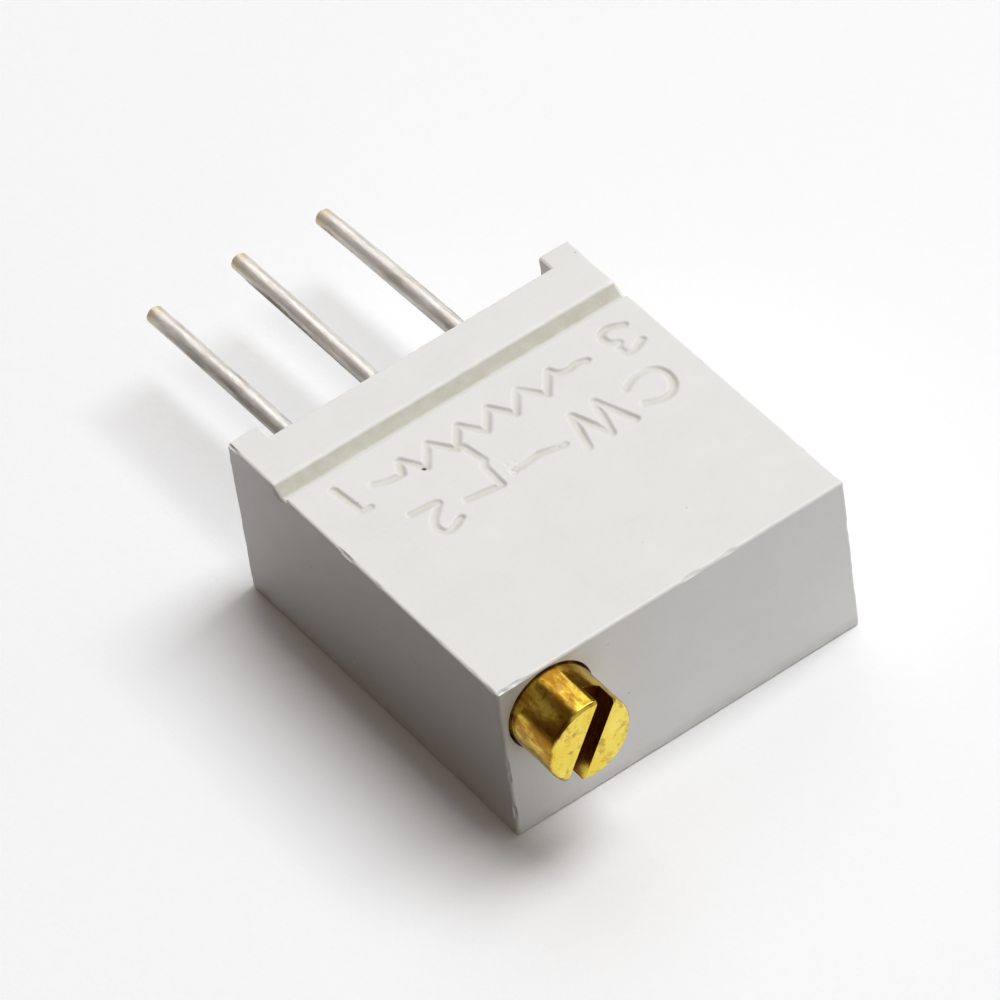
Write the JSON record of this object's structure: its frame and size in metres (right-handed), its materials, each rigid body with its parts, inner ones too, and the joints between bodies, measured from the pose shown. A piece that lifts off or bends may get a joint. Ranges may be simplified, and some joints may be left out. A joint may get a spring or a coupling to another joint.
{
  "type": "trimmer potentiometer",
  "caption": "Square multi-turn trimmer potentiometer with a slotted brass adjusting screw on one end, a worm-driven wiper inside and terminals in line on the opposite end.",
  "frame": {"origin": "centre of the back face, on which the part lies", "axes": "+Z out of the marked face, +Y from the screw end to the terminals, +X towards terminal 3"},
  "size_m": [0.01, 0.0193, 0.0049],
  "materials": {
    "housing_plastic": "fine matt moulded grey",
    "screw_brass": "turned, lightly tarnished",
    "seal_rubber": "smooth",
    "clip_steel": "stamped",
    "gear_plastic": "moulded",
    "hub_plastic": "moulded",
    "wiper_alloy": "stamped spring alloy",
    "substrate_ceramic": "fired, matt",
    "track_cermet": "fired thick film",
    "conductor_print": "fired silver print",
    "tinned_wire": "bright tin, slightly dulled",
    "solder": "reflowed",
    "seal_epoxy": "cast resin, level with the rim"
  },
  "bodies": {
    "body": {"housing": "housing_plastic", "screw_retainer": "clip_steel", "ceramic_substrate": "substrate_ceramic", "resistive_track": "track_cermet", "collector_ring": "conductor_print", "conductor_pad_1": "conductor_print", "conductor_pad_2": "conductor_print", "conductor_pad_3": "conductor_print", "terminal_pin_1": "tinned_wire", "terminal_pin_2": "tinned_wire", "terminal_pin_3": "tinned_wire", "solder_joint_1": "solder", "solder_joint_2": "solder", "solder_joint_3": "solder", "back_seal": "seal_epoxy"},
    "screw": {"adjustment_screw": "screw_brass", "o_ring": "seal_rubber"},
    "rotor": {"drive_gear": "gear_plastic", "rotor_hub": "hub_plastic", "wiper_contact": "wiper_alloy"}
  },
  "joints": [
    {"name": "screw_turn", "type": "hinge", "parent": "body", "child": "screw", "pos_m": [-0.00362, 0, 0.0035], "axis": [0, 1, 0], "range_deg": [-4500, 4500]},
    {"name": "rotor_turn", "type": "hinge", "parent": "body", "child": "rotor", "pos_m": [0.00019, 0.0004, 0.0035], "axis": [0, 0, 1], "range_deg": [-140.62, 140.62]}
  ],
  "couplings": [
    {"joint": "rotor_turn", "follows": "screw_turn", "ratio": 0.03125}
  ]
}
